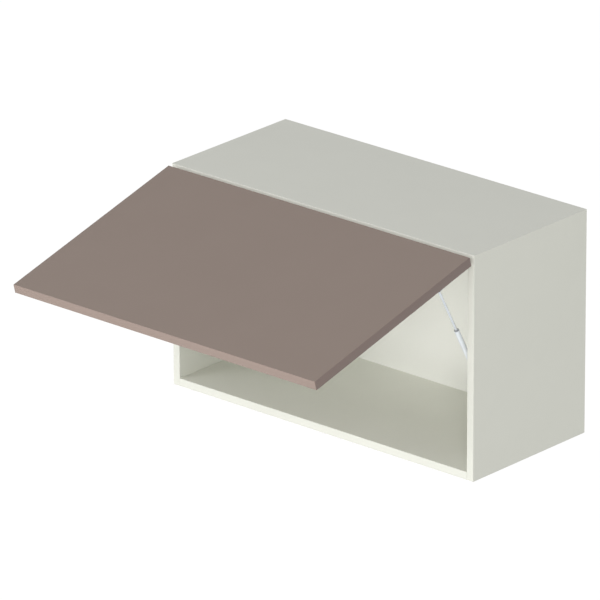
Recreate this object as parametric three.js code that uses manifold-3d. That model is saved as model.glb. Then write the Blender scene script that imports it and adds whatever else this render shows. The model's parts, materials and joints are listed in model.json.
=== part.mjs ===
// Lift-up wall cabinet: a frameless carcass with one top-hinged flap door, shown fully open.
// Millimetres. X runs left to right, Y from the front to the wall, Z up.
// The origin is on the wall line, mid-width, level with the cabinet's underside.
import * as THREE from 'three';
import { mergeVertices } from 'three/addons/utils/BufferGeometryUtils.js';
import Module from 'manifold-3d';

const wasm = await Module();
wasm.setup();

// ---- driving dimensions ------------------------------------------------------------------
// Carcass
const WIDTH = 762;
const HEIGHT = 457.2;
const DEPTH = 330.2;
const BOARD = 16; // melamine-faced chipboard
const EDGING = 1; // edging strip on every front edge
const GLUE = 0.1; // glue line between faces that are joined
const BACK = 3; // back panel
const BACK_RECESS = 16; // free depth behind the back panel, for the wall rail
const GROOVE_DEPTH = 6;
const GROOVE_PLAY = 0.1;
const BACK_END_PLAY = 0.5; // the back panel stops short of the groove's floor

// Dowels, two at each corner
const DOWEL_RADIUS = 4;
const DOWEL_LENGTH = 34;
const DOWEL_IN_SIDE = 11; // length of dowel that sits in the side panel
const DOWEL_PLAY = 0.12;
const DOWEL_FRONT_INSET = 50;
const DOWEL_REAR_INSET = 70;

// Door
const DOOR_THICK = 18.6; // board with a laminate on both faces
const DOOR_EDGING = 1;
const DOOR_SIDE_REVEAL = 1.4; // the door is this much narrower than the carcass, each side
const DOOR_END_REVEAL = 1; // the same, at the top and at the bottom
const DOOR_GAP = 2; // closed door to carcass
const OPEN_DEGREES = 75;
const PIVOT_IN = 4.8; // door axis, behind the door's outer face
const PIVOT_DROP = 6; // door axis, below the door's top edge

// Cup hinges, under the top panel
const HINGE_INSET = 110; // hinge centre to the cabinet's outer side
const CUP_RADIUS = 17.5;
const CUP_EDGE = 4.5; // rim of the cup's bore to the door's top edge
const CUP_DEPTH = 12.5;
const CUP_PLAY = 0.15;
const CUP_WALL = 1.1;
const CUP_POCKET_WIDTH = 18;
const FLANGE_THICK = 1.2;
const FLANGE_RADIUS = 19;
const FLANGE_SCREW_REACH = 22.5; // cup's centre to each flange screw
const FLANGE_LOBE = 5.5;
const SCREW_HOLE = 1.9;
const PLATE_BACK = 37; // cabinet's front to the mounting plate's centre
const PLATE_THICK = 2.2;
const PLATE_LOBE = 6.5;
const PLATE_SCREW_REACH = 16;
const PLATE_RAIL_LENGTH = 44;
const PLATE_RAIL_WIDTH = 12.2;
const PLATE_RAIL_HEIGHT = 8;
const ARM_WALL = 1.5;
const ARM_PLAY = 0.3; // arm to mounting plate, arm to links
const ARM_LENGTH = 78;
const PIN_RADIUS = 1.1;
const PIN_PLAY = 0.3;
const EYE_RADIUS = 2;
const LINK_THICK = 1.8;
const INNER_LINK_WIDTH = 7.2;
const OUTER_LINK_WALL = 1.6;
// Each link turns about a fixed pin and carries a pin that rides in the cup. The two cup pins are
// given with the door shut, from the door's axis; a fixed pin lies at its reach from that axis, on
// the line that halves the angle through which its cup pin swings.
const INNER_CUP_PIN = [9.5, -7.5];
const OUTER_CUP_PIN = [12, -5.4];
const INNER_PIN_REACH = 25;
const OUTER_PIN_REACH = 27;
const OUTER_LINK_CRANK = 2.6; // how far the outer link bends clear of the cup's rim

// Gas struts, one beside each side panel
const STRUT_INSET = 16; // strut's centre line to the side panel's inner face
const SIDE_BALL_BACK = 51; // fixed ball, behind the cabinet's front
const SIDE_BALL_DROP = 270; // fixed ball, below the cabinet's top
const DOOR_BALL_DROP = 69.5; // door's ball, below the door's top edge
const DOOR_BALL_STAND = 11.9; // door's ball, off the door's inner face
const BALL_RADIUS = 4;
const BALL_PLAY = 0.25;
const NECK_RADIUS = 2.5;
const COLLAR_RADIUS = 4.5;
const COLLAR_THICK = 2;
const SOCKET_RADIUS = 6.2;
const SOCKET_MOUTH = 3.5; // ball's centre to the socket's open face
const SOCKET_CAP = 5.8; // ball's centre to the socket's closed face
const SNAP_LIP = 0.8; // how far the socket's mouth closes in over the ball
const SHANK_RADIUS = 3.6;
const LOWER_SHANK = 21; // ball's centre to the shank's end
const LOWER_GRIP = 9; // length of the tube's stem inside its shank
const UPPER_SHANK = 13;
const UPPER_GRIP = 6.5; // length of rod inside its shank
const TUBE_RADIUS = 5;
const TUBE_WALL = 0.8;
const TUBE_END = 3;
const TUBE_CHAMFER = 0.6;
const TUBE_TOP = 133.6; // fixed ball to the tip of the rod guide
const GUIDE_LIP = 1.5;
const GUIDE_CHAMFER = 0.8;
const GUIDE_SPIGOT = 8;
const ROD_RADIUS = 2.5;
const SLIDE_PLAY = 0.2;
const PISTON_RADIUS = 3.9;
const PISTON_LENGTH = 6;
const PISTON_STOP = 3; // piston to guide when the strut is fully out
const BRACKET_THICK = 1.6;
const BRACKET_WIDTH = 16;
const BRACKET_LENGTH = 46;
const BRACKET_SCREW_REACH = 15;
const STUD_SEAT = 0.3; // fixed ball's foot to its bracket
const LUG_THICK = 2;
const LUG_PLAY = 0.3;
const LUG_STANDOFF = 3.5; // free neck between the door stud's collar and its lug
const LUG_RADIUS = 6.5;
const DOOR_BRACKET_REACH = 26; // base of the door bracket, inboard of the ball

// Wall hangers, in the upper rear corners
const HANGER_WIDTH = 18;
const HANGER_DEPTH = 62;
const HANGER_HEIGHT = 46;
const HANGER_CHAMFER = 9;
const HANGER_PLAY = 0.3;
const HOOK_WIDTH = 11;
const HOOK_THICK = 2.5;
const HOOK_TAIL = 30; // hook inside the housing
const HOOK_REACH = 12.5; // hook behind the back panel
const HOOK_LIP = 14;
const HOOK_DROP = 12; // hook's top below the housing's top
const HOOK_TRAVEL = 3; // slot left above and below the hook for levelling
const HANGER_SCREW_RADIUS = 3.5;
const HANGER_SCREW_LENGTH = 16;
const HANGER_SCREW_DROP = 33;
const HANGER_RECESS_DEPTH = 2.5;
const HANGER_RECESS_WIDTH = 1.2;

// Door bumpers
const BUMPER_RADIUS = 5;
const BUMPER_HEIGHT = 1.5;
const BUMPER_INSET = 8.5; // bumper's centre to the door's bottom and side edges

// Facets
const FINE = 40;
const ROUND = 20;
const SMALL = 12;

// ---- sizes that follow -------------------------------------------------------------------
const FRONT = -DEPTH;
const INNER_X = WIDTH / 2 - BOARD; // inner face of a side panel
const BOARD_FRONT = FRONT + EDGING + GLUE;
const BACK_REAR = -BACK_RECESS;
const BACK_FRONT = BACK_REAR - BACK;
const CEILING = HEIGHT - BOARD;
const DOOR_OUTER = FRONT - DOOR_GAP - DOOR_THICK;
const DOOR_TOP = HEIGHT - DOOR_END_REVEAL;
const DOOR_LENGTH = HEIGHT - 2 * DOOR_END_REVEAL;
const DOOR_WIDTH = WIDTH - 2 * DOOR_SIDE_REVEAL;
const PIVOT_Y = DOOR_OUTER + PIVOT_IN;
const PIVOT_Z = DOOR_TOP - PIVOT_DROP;
const OPEN = THREE.MathUtils.degToRad(OPEN_DEGREES);

// ---- finishes ----------------------------------------------------------------------------
const FINISH = {
  melamine: { color: '#d9dbd1', roughness: 0.55, metalness: 0 },
  edging: { color: '#dfe1d7', roughness: 0.5, metalness: 0 },
  hardboard: { color: '#dcded4', roughness: 0.6, metalness: 0 },
  taupe: { color: '#8f8179', roughness: 0.45, metalness: 0 },
  beech: { color: '#c9a878', roughness: 0.8, metalness: 0 },
  nickel: { color: '#c4c5c4', roughness: 0.3, metalness: 1 },
  zinc: { color: '#b4b8bb', roughness: 0.4, metalness: 1 },
  chrome: { color: '#e4e6e8', roughness: 0.12, metalness: 1 },
  strut: { color: '#e9eef2', roughness: 0.3, metalness: 0 },
  black: { color: '#2c2d2e', roughness: 0.5, metalness: 0 },
  grey: { color: '#6d7072', roughness: 0.5, metalness: 0 },
  clear: { color: '#e6e8e6', roughness: 0.35, metalness: 0 },
};

// ---- solids ------------------------------------------------------------------------------
function toSolid(geometry) {
  geometry.deleteAttribute('normal');
  geometry.deleteAttribute('uv');
  const merged = mergeVertices(geometry, 1e-5);
  const index = merged.index.array;
  const faces = [];
  for (let i = 0; i < index.length; i += 3) {
    const [a, b, c] = [index[i], index[i + 1], index[i + 2]];
    if (a !== b && b !== c && c !== a) faces.push(a, b, c);
  }
  return new wasm.Manifold(new wasm.Mesh({
    numProp: 3,
    vertProperties: merged.attributes.position.array,
    triVerts: Uint32Array.from(faces),
  }));
}

function toGeometry(solid) {
  const mesh = solid.getMesh();
  const geometry = new THREE.BufferGeometry();
  geometry.setAttribute('position', new THREE.BufferAttribute(mesh.vertProperties, 3));
  geometry.setIndex(new THREE.BufferAttribute(mesh.triVerts, 1));
  geometry.computeVertexNormals();
  return geometry;
}

const join = (...solids) => solids.reduce((whole, solid) => whole.add(solid));
const cut = (whole, ...tools) => tools.reduce((rest, tool) => rest.subtract(tool), whole);

function block(x0, x1, y0, y1, z0, z1) {
  const box = new THREE.BoxGeometry(x1 - x0, y1 - y0, z1 - z0);
  return toSolid(box.translate((x0 + x1) / 2, (y0 + y1) / 2, (z0 + z1) / 2));
}

// A revolved profile of [radius, height] points, standing on the axis that is named.
function turned(axis, profile, sides = ROUND) {
  const points = profile.map(([radius, height]) => new THREE.Vector2(radius, height));
  const lathe = new THREE.LatheGeometry(points, sides);
  if (axis === 'x') lathe.rotateZ(-Math.PI / 2);
  if (axis === 'z') lathe.rotateX(Math.PI / 2);
  return toSolid(lathe);
}

function cylinder(axis, radius, from, to, sides = ROUND) {
  return turned(axis, [[0, from], [radius, from], [radius, to], [0, to]], sides);
}

// A flat outline in the plane square to an axis, pushed along that axis.
// Across x the outline is [y, z]; across y it is [x, z]; across z it is [x, y].
const PUSH = {
  x: [new THREE.Vector3(0, 1, 0), new THREE.Vector3(0, 0, 1), new THREE.Vector3(1, 0, 0)],
  y: [new THREE.Vector3(1, 0, 0), new THREE.Vector3(0, 0, 1), new THREE.Vector3(0, -1, 0)],
  z: [new THREE.Vector3(1, 0, 0), new THREE.Vector3(0, 1, 0), new THREE.Vector3(0, 0, 1)],
};

function pushed(axis, outline, from, to) {
  const shape = outline instanceof THREE.Shape
    ? outline
    : new THREE.Shape(outline.map(([a, b]) => new THREE.Vector2(a, b)));
  const solid = new THREE.ExtrudeGeometry(shape, {
    depth: to - from, bevelEnabled: false, curveSegments: 8,
  });
  solid.translate(0, 0, axis === 'y' ? -to : from);
  return toSolid(solid.applyMatrix4(new THREE.Matrix4().makeBasis(...PUSH[axis])));
}

// A strip with round ends through [a, b] points, as an outline across an axis.
function strap(axis, points, thickness, from, to) {
  const half = thickness / 2;
  const parts = points.map(([a, b]) => disc(axis, a, b, half, from, to, SMALL));
  for (let i = 1; i < points.length; i++) {
    const [a0, b0] = points[i - 1];
    const [a1, b1] = points[i];
    const length = Math.hypot(a1 - a0, b1 - b0);
    const [na, nb] = [(-(b1 - b0) / length) * half, ((a1 - a0) / length) * half];
    const sides = [[a0 - na, b0 - nb], [a1 - na, b1 - nb], [a1 + na, b1 + nb], [a0 + na, b0 + nb]];
    parts.push(pushed(axis, sides, from, to));
  }
  return join(...parts);
}

// A disc square to an axis, at [a, b] in the plane across it.
function disc(axis, a, b, radius, from, to, sides = ROUND) {
  const places = { x: [0, a, b], y: [a, 0, b], z: [a, b, 0] };
  return cylinder(axis, radius, from, to, sides).translate(places[axis]);
}

const SIDES = [['left', -1], ['right', 1]];
const mirrored = (solid, side) => (side < 0 ? solid.mirror([1, 0, 0]) : solid);

const cabinet = new THREE.Group();

function addPiece(name, solid, finish, parent = cabinet) {
  const mesh = new THREE.Mesh(toGeometry(solid), new THREE.MeshStandardMaterial(FINISH[finish]));
  mesh.name = name;
  parent.add(mesh);
}

// ---- carcass -----------------------------------------------------------------------------
// The side panels run the full height; the top and bottom panels sit between them.
const DOWEL_ROWS = [
  ['front', FRONT + DOWEL_FRONT_INSET],
  ['rear', -DOWEL_REAR_INSET],
];
const DOWEL_LEVELS = [['bottom', BOARD / 2], ['top', HEIGHT - BOARD / 2]];
const DOWEL_OUT = INNER_X + DOWEL_IN_SIDE;

function dowelBores() {
  const reach = DOWEL_LENGTH + 2 * DOWEL_PLAY;
  return DOWEL_LEVELS.flatMap(([, z]) => DOWEL_ROWS.map(([, y]) => disc(
    'x', y, z, DOWEL_RADIUS + DOWEL_PLAY, DOWEL_OUT + DOWEL_PLAY - reach, DOWEL_OUT + DOWEL_PLAY, SMALL,
  )));
}

function sidePanel() {
  const panel = block(INNER_X, WIDTH / 2, BOARD_FRONT, 0, 0, HEIGHT);
  const groove = block(
    INNER_X - 1, INNER_X + GROOVE_DEPTH,
    BACK_FRONT - GROOVE_PLAY, BACK_REAR + GROOVE_PLAY,
    BOARD - GROOVE_DEPTH, CEILING + GROOVE_DEPTH,
  );
  return cut(panel, groove, ...dowelBores());
}

function levelPanel(z0, z1, grooveFloor, grooveMouth) {
  const end = INNER_X - GLUE;
  const panel = block(-end, end, BOARD_FRONT, 0, z0, z1);
  const groove = block(
    -WIDTH, WIDTH, BACK_FRONT - GROOVE_PLAY, BACK_REAR + GROOVE_PLAY,
    Math.min(grooveFloor, grooveMouth), Math.max(grooveFloor, grooveMouth),
  );
  const bores = dowelBores();
  return cut(panel, groove, ...bores, ...bores.map((bore) => bore.mirror([1, 0, 0])));
}

for (const [name, side] of SIDES) addPiece(`side_panel_${name}`, mirrored(sidePanel(), side), 'melamine');
addPiece('bottom_panel', levelPanel(0, BOARD, BOARD - GROOVE_DEPTH, BOARD + 1), 'melamine');
addPiece('top_panel', levelPanel(CEILING, HEIGHT, CEILING + GROOVE_DEPTH, CEILING - 1), 'melamine');

// Front edging: the side strips run full height, as their panels do.
const EDGING_BACK = FRONT + EDGING;
for (const [name, side] of SIDES) {
  const strip = block(INNER_X, WIDTH / 2, FRONT, EDGING_BACK, 0, HEIGHT);
  addPiece(`edging_${name}`, mirrored(strip, side), 'edging');
}
for (const [name, z0] of [['bottom', 0], ['top', CEILING]]) {
  const end = INNER_X - GLUE;
  addPiece(`edging_${name}`, block(-end, end, FRONT, EDGING_BACK, z0, z0 + BOARD), 'edging');
}

for (const [level, z] of DOWEL_LEVELS) {
  for (const [row, y] of DOWEL_ROWS) {
    for (const [name, side] of SIDES) {
      const dowel = disc('x', y, z, DOWEL_RADIUS, DOWEL_OUT - DOWEL_LENGTH, DOWEL_OUT, SMALL);
      addPiece(`dowel_${level}_${row}_${name}`, mirrored(dowel, side), 'beech');
    }
  }
}

// ---- wall hangers ------------------------------------------------------------------------
// A housing in each upper rear corner, with a steel hook that reaches through the back panel
// and over a wall rail, and a screw at the front that raises or lowers the hook.
const HANGER_OUT = INNER_X - HANGER_PLAY;
const HANGER_X = HANGER_OUT - HANGER_WIDTH / 2;
const HANGER_REAR = BACK_FRONT - HANGER_PLAY;
const HANGER_FRONT = HANGER_REAR - HANGER_DEPTH;
const HANGER_TOP = CEILING - HANGER_PLAY;
const HANGER_BOTTOM = HANGER_TOP - HANGER_HEIGHT;
const HOOK_TOP = HANGER_TOP - HOOK_DROP;
const HANGER_SCREW_Z = HANGER_TOP - HANGER_SCREW_DROP;

function hookSlot(front, rear, height) {
  const half = HOOK_WIDTH / 2 + HANGER_PLAY;
  const [foot, head] = [HOOK_TOP - HOOK_TRAVEL - height, HOOK_TOP + HOOK_TRAVEL];
  return block(HANGER_X - half, HANGER_X + half, front, rear, foot, head);
}

function hangerHousing() {
  const outline = [
    [HANGER_REAR, HANGER_BOTTOM], [HANGER_REAR, HANGER_TOP],
    [HANGER_FRONT + HANGER_CHAMFER, HANGER_TOP], [HANGER_FRONT, HANGER_TOP - HANGER_CHAMFER],
    [HANGER_FRONT, HANGER_BOTTOM + HANGER_CHAMFER], [HANGER_FRONT + HANGER_CHAMFER, HANGER_BOTTOM],
  ];
  const housing = pushed('x', outline.reverse(), HANGER_OUT - HANGER_WIDTH, HANGER_OUT);
  const bore = disc(
    'y', HANGER_X, HANGER_SCREW_Z, HANGER_SCREW_RADIUS + HANGER_PLAY,
    HANGER_FRONT - 1, HANGER_FRONT + HANGER_SCREW_LENGTH + HANGER_PLAY, SMALL,
  );
  return cut(housing, hookSlot(HANGER_REAR - HOOK_TAIL - HANGER_PLAY, HANGER_REAR + 1, HOOK_THICK), bore);
}

function hangerHook() {
  const tip = BACK_REAR + HOOK_REACH;
  const outline = [
    [HANGER_REAR - HOOK_TAIL, HOOK_TOP - HOOK_THICK], [tip - HOOK_THICK, HOOK_TOP - HOOK_THICK],
    [tip - HOOK_THICK, HOOK_TOP - HOOK_LIP], [tip, HOOK_TOP - HOOK_LIP],
    [tip, HOOK_TOP], [HANGER_REAR - HOOK_TAIL, HOOK_TOP],
  ];
  return pushed('x', outline, HANGER_X - HOOK_WIDTH / 2, HANGER_X + HOOK_WIDTH / 2);
}

function hangerScrew() {
  const rear = HANGER_FRONT + HANGER_SCREW_LENGTH;
  const screw = disc('y', HANGER_X, HANGER_SCREW_Z, HANGER_SCREW_RADIUS, HANGER_FRONT + 1, rear, SMALL);
  const slot = HANGER_RECESS_WIDTH / 2;
  const wide = HANGER_SCREW_RADIUS * 0.7;
  const arm = (halfX, halfZ) => block(
    HANGER_X - halfX, HANGER_X + halfX, HANGER_FRONT, HANGER_FRONT + HANGER_RECESS_DEPTH,
    HANGER_SCREW_Z - halfZ, HANGER_SCREW_Z + halfZ,
  );
  return cut(screw, arm(wide, slot), arm(slot, wide));
}

for (const [name, side] of SIDES) {
  addPiece(`hanger_housing_${name}`, mirrored(hangerHousing(), side), 'zinc');
  addPiece(`hanger_hook_${name}`, mirrored(hangerHook(), side), 'zinc');
  addPiece(`hanger_screw_${name}`, mirrored(hangerScrew(), side), 'nickel');
}

// The back panel slides in the grooves and is cut out where the hooks pass.
function backPanel() {
  const end = INNER_X + GROOVE_DEPTH - BACK_END_PLAY;
  const foot = BOARD - GROOVE_DEPTH + BACK_END_PLAY;
  const head = CEILING + GROOVE_DEPTH - BACK_END_PLAY;
  const window = hookSlot(BACK_FRONT - 1, BACK_REAR + 1, HOOK_LIP);
  return cut(block(-end, end, BACK_FRONT, BACK_REAR, foot, head), window, window.mirror([1, 0, 0]));
}
addPiece('back_panel', backPanel(), 'hardboard');

// ---- cup hinges --------------------------------------------------------------------------
// Worked out in [y, z] from the door's axis. "Shut" places turn through the opening angle to
// become the places at rest, with the door open.
const opened = ([y, z]) => [
  y * Math.cos(OPEN) + z * Math.sin(OPEN),
  z * Math.cos(OPEN) - y * Math.sin(OPEN),
];

function fixedPin(cupPin, reach) {
  const [y0, z0] = cupPin;
  const [y1, z1] = opened(cupPin);
  const length = Math.hypot(y0 + y1, z0 + z1);
  return [((y0 + y1) / length) * reach, ((z0 + z1) / length) * reach];
}

const DOOR_INNER = DOOR_THICK - PIVOT_IN; // door's inner face, from its axis
const CUP_Z = PIVOT_DROP - CUP_EDGE - CUP_RADIUS;
const INNER_PIN = fixedPin(INNER_CUP_PIN, INNER_PIN_REACH);
const OUTER_PIN = fixedPin(OUTER_CUP_PIN, OUTER_PIN_REACH);
const ARM_INNER = PLATE_RAIL_WIDTH / 2 + ARM_PLAY; // inside of an arm's cheek
const ARM_OUTER = ARM_INNER + ARM_WALL;
const CARCASS_FRONT = FRONT - PIVOT_Y;
const PLATE_TOP = CEILING - PIVOT_Z - GLUE;
const PLATE_Y = CARCASS_FRONT + PLATE_BACK;
const RAIL_TOP = PLATE_TOP - PLATE_THICK;
const RAIL_FOOT = RAIL_TOP - PLATE_RAIL_HEIGHT;
const ARM_FOOT = OUTER_PIN[1] - EYE_RADIUS - ARM_PLAY;

function mountingPlate() {
  const wings = pushed('z', [
    [-PLATE_SCREW_REACH, PLATE_Y - PLATE_LOBE], [PLATE_SCREW_REACH, PLATE_Y - PLATE_LOBE],
    [PLATE_SCREW_REACH, PLATE_Y + PLATE_LOBE], [-PLATE_SCREW_REACH, PLATE_Y + PLATE_LOBE],
  ], RAIL_TOP, PLATE_TOP);
  const lobes = [-1, 1].map((side) => disc(
    'z', side * PLATE_SCREW_REACH, PLATE_Y, PLATE_LOBE, RAIL_TOP, PLATE_TOP,
  ));
  const rail = block(
    -PLATE_RAIL_WIDTH / 2, PLATE_RAIL_WIDTH / 2,
    PLATE_Y - PLATE_RAIL_LENGTH / 2, PLATE_Y + PLATE_RAIL_LENGTH / 2, RAIL_FOOT, PLATE_TOP,
  );
  const holes = [-1, 1].map((side) => disc(
    'z', side * PLATE_SCREW_REACH, PLATE_Y, SCREW_HOLE, RAIL_TOP - 1, PLATE_TOP + 1, SMALL,
  ));
  return cut(join(wings, rail, ...lobes), ...holes);
}

// The arm is a folded channel. Its two cheeks reach forward of the carcass to carry the pins.
function hingeArm() {
  const rear = CARCASS_FRONT + ARM_LENGTH;
  const top = RAIL_TOP - ARM_PLAY;
  const nose = EYE_RADIUS + 0.6;
  const cheek = join(
    strap('x', [INNER_PIN, OUTER_PIN], 2 * nose, ARM_INNER, ARM_OUTER),
    pushed('x', [
      [OUTER_PIN[0], ARM_FOOT], [rear, ARM_FOOT], [rear, top], [CARCASS_FRONT + nose, top],
      [OUTER_PIN[0], OUTER_PIN[1] + nose],
    ], ARM_INNER, ARM_OUTER),
  );
  const web = block(-ARM_OUTER, ARM_OUTER, OUTER_PIN[0] + 2 * nose, rear, ARM_FOOT, ARM_FOOT + ARM_WALL);
  const pins = [INNER_PIN, OUTER_PIN].map(([y, z]) => disc(
    'x', y, z, PIN_RADIUS, -ARM_OUTER, ARM_OUTER, SMALL,
  ));
  return join(cheek, cheek.mirror([1, 0, 0]), web, ...pins);
}

const pinHole = ([y, z]) => disc('x', y, z, PIN_RADIUS + PIN_PLAY, -CUP_RADIUS, CUP_RADIUS, SMALL);
const CUP_PIN_END = CUP_POCKET_WIDTH / 2 - 3 * ARM_PLAY;

// The inner link is one tongue between the pins.
function innerLink() {
  const half = INNER_LINK_WIDTH / 2;
  const far = opened(INNER_CUP_PIN);
  const tongue = join(
    strap('x', [INNER_PIN, far], LINK_THICK, -half, half),
    ...[INNER_PIN, far].map(([y, z]) => disc('x', y, z, EYE_RADIUS, -half, half, SMALL)),
  );
  return cut(tongue, pinHole(INNER_PIN));
}

// The outer link straddles the inner one: two cranked cheeks, a bridge, and a pin stub on each
// cheek that rides against the cup's side.
function outerLink() {
  const far = opened(OUTER_CUP_PIN);
  const [y0, z0] = OUTER_PIN;
  const [dy, dz] = [far[0] - y0, far[1] - z0];
  const crank = OUTER_LINK_CRANK / Math.hypot(dy, dz);
  const bend = [y0 + dy * 0.62 - crank * dz, z0 + dz * 0.62 + crank * dy];
  const bridge = [y0 + (bend[0] - y0) * 0.45, z0 + (bend[1] - z0) * 0.45];
  const inside = INNER_LINK_WIDTH / 2 + ARM_PLAY * 2;
  const outside = inside + OUTER_LINK_WALL;
  const cheek = join(
    strap('x', [OUTER_PIN, bend, far], LINK_THICK, inside, outside),
    ...[OUTER_PIN, far].map(([y, z]) => disc('x', y, z, EYE_RADIUS, inside, outside, SMALL)),
    disc('x', ...far, PIN_RADIUS, inside, CUP_PIN_END, SMALL),
  );
  const tie = disc('x', ...bridge, LINK_THICK / 2, -outside, outside, SMALL);
  return cut(join(cheek, cheek.mirror([1, 0, 0]), tie), pinHole(OUTER_PIN));
}

const HINGE_X = WIDTH / 2 - HINGE_INSET;
const doorPlace = new THREE.Group();
doorPlace.position.set(0, PIVOT_Y, PIVOT_Z);
doorPlace.rotation.x = -OPEN;
cabinet.add(doorPlace);

for (const [name, side] of SIDES) {
  const place = new THREE.Group();
  place.position.set(side * HINGE_X, PIVOT_Y, PIVOT_Z);
  cabinet.add(place);
  addPiece(`hinge_plate_${name}`, mountingPlate(), 'nickel', place);
  addPiece(`hinge_arm_${name}`, hingeArm(), 'nickel', place);
  addPiece(`hinge_inner_link_${name}`, innerLink(), 'nickel', place);
  addPiece(`hinge_outer_link_${name}`, outerLink(), 'nickel', place);
}

// ---- door --------------------------------------------------------------------------------
// Modelled shut, from its axis, and turned open as one group.
const DOOR_HEAD = PIVOT_DROP;
const DOOR_FOOT = PIVOT_DROP - DOOR_LENGTH;
const DOOR_BALL = [DOOR_INNER + DOOR_BALL_STAND, DOOR_HEAD - DOOR_BALL_DROP];
const STRUT_X = INNER_X - STRUT_INSET;

function cupBore(side) {
  return disc(
    'y', side * HINGE_X, CUP_Z, CUP_RADIUS + CUP_PLAY,
    DOOR_INNER - CUP_DEPTH - CUP_PLAY, DOOR_INNER + 1, FINE,
  );
}

function doorPanel() {
  const side = DOOR_WIDTH / 2 - DOOR_EDGING - GLUE;
  const inset = DOOR_EDGING + GLUE;
  const panel = block(-side, side, -PIVOT_IN, DOOR_INNER, DOOR_FOOT + inset, DOOR_HEAD - inset);
  return cut(panel, cupBore(-1), cupBore(1));
}
addPiece('door_panel', doorPanel(), 'taupe', doorPlace);

for (const [name, side] of SIDES) {
  const out = DOOR_WIDTH / 2;
  const strip = block(out - DOOR_EDGING, out, -PIVOT_IN, DOOR_INNER, DOOR_FOOT, DOOR_HEAD);
  addPiece(`door_edging_${name}`, mirrored(strip, side), 'taupe', doorPlace);
}
for (const [name, z0] of [['bottom', DOOR_FOOT], ['top', DOOR_HEAD - DOOR_EDGING]]) {
  const end = DOOR_WIDTH / 2 - DOOR_EDGING - GLUE;
  const strip = block(-end, end, -PIVOT_IN, DOOR_INNER, z0, z0 + DOOR_EDGING);
  addPiece(`door_edging_${name}`, strip, 'taupe', doorPlace);
}

function hingeCup() {
  const face = DOOR_INNER + GLUE;
  const front = face + FLANGE_THICK;
  const floor = DOOR_INNER - CUP_DEPTH;
  const lobes = [-1, 1].map((side) => disc('y', side * FLANGE_SCREW_REACH, CUP_Z, FLANGE_LOBE, face, front));
  const bar = block(
    -FLANGE_SCREW_REACH, FLANGE_SCREW_REACH, face, front, CUP_Z - FLANGE_LOBE, CUP_Z + FLANGE_LOBE,
  );
  const rim = disc('y', 0, CUP_Z, FLANGE_RADIUS, face, front, FINE);
  const body = disc('y', 0, CUP_Z, CUP_RADIUS, floor, front, FINE);
  const inside = disc('y', 0, CUP_Z, CUP_RADIUS - CUP_WALL, floor + CUP_WALL, front + 1, FINE);
  const half = CUP_POCKET_WIDTH / 2;
  const slab = block(-half, half, floor, front + 2, CUP_Z - CUP_RADIUS, CUP_Z + CUP_RADIUS);
  const holes = [-1, 1].map((side) => disc(
    'y', side * FLANGE_SCREW_REACH, CUP_Z, SCREW_HOLE, face - 1, front + 1, SMALL,
  ));
  return cut(join(rim, bar, body, ...lobes), inside.intersect(slab), ...holes);
}

// The door's strut bracket: a base on the door's inner face and a lug that holds the ball stud.
const LUG_INNER = SOCKET_MOUTH + COLLAR_THICK + LUG_STANDOFF + LUG_PLAY;
const LUG_OUTER = LUG_INNER + LUG_THICK;

function doorBracket() {
  const [ballY, ballZ] = DOOR_BALL;
  const face = DOOR_INNER + GLUE;
  const half = BRACKET_WIDTH / 2;
  const base = block(
    -DOOR_BRACKET_REACH, LUG_OUTER, face, face + BRACKET_THICK, ballZ - half, ballZ + half,
  );
  const lug = join(
    disc('x', ballY, ballZ, LUG_RADIUS, LUG_INNER, LUG_OUTER),
    block(LUG_INNER, LUG_OUTER, face, ballY, ballZ - LUG_RADIUS, ballZ + LUG_RADIUS),
  );
  const holes = [0.35, 0.8].map((share) => disc(
    'y', -share * DOOR_BRACKET_REACH, ballZ, SCREW_HOLE, face - 1, face + BRACKET_THICK + 1, SMALL,
  ));
  const eye = disc('x', ballY, ballZ, NECK_RADIUS + PIN_PLAY, 0, LUG_OUTER + 1, SMALL);
  return cut(join(base, lug), ...holes, eye);
}

// Profile of a ball and neck, along x from the ball's centre to its collar.
function ballAndNeck(collarFrom) {
  const steps = 8;
  const start = -Math.PI / 2;
  const end = Math.acos(NECK_RADIUS / BALL_RADIUS);
  const arc = [];
  for (let i = 0; i <= steps; i++) {
    const angle = start + ((end - start) * i) / steps;
    arc.push([i === 0 ? 0 : BALL_RADIUS * Math.cos(angle), BALL_RADIUS * Math.sin(angle)]);
  }
  return [...arc, [NECK_RADIUS, collarFrom], [COLLAR_RADIUS, collarFrom]];
}

// The door's stud passes through its lug and is riveted over behind it.
function doorStud() {
  const collar = LUG_INNER - LUG_PLAY - COLLAR_THICK;
  const head = LUG_OUTER + LUG_PLAY;
  return turned('x', [
    ...ballAndNeck(collar), [COLLAR_RADIUS, collar + COLLAR_THICK], [NECK_RADIUS, collar + COLLAR_THICK],
    [NECK_RADIUS, head], [NECK_RADIUS + 1.2, head], [NECK_RADIUS + 0.6, head + 1], [0, head + 1],
  ]).translate([0, ...DOOR_BALL]);
}

function bumper() {
  const x = DOOR_WIDTH / 2 - BUMPER_INSET;
  const z = DOOR_FOOT + BUMPER_INSET;
  const dome = turned('y', [
    [0, 0], [BUMPER_RADIUS, 0], [BUMPER_RADIUS, BUMPER_HEIGHT * 0.4],
    [BUMPER_RADIUS * 0.75, BUMPER_HEIGHT * 0.8], [BUMPER_RADIUS * 0.4, BUMPER_HEIGHT], [0, BUMPER_HEIGHT],
  ]);
  return dome.translate([x, DOOR_INNER + GLUE, z]);
}

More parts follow.
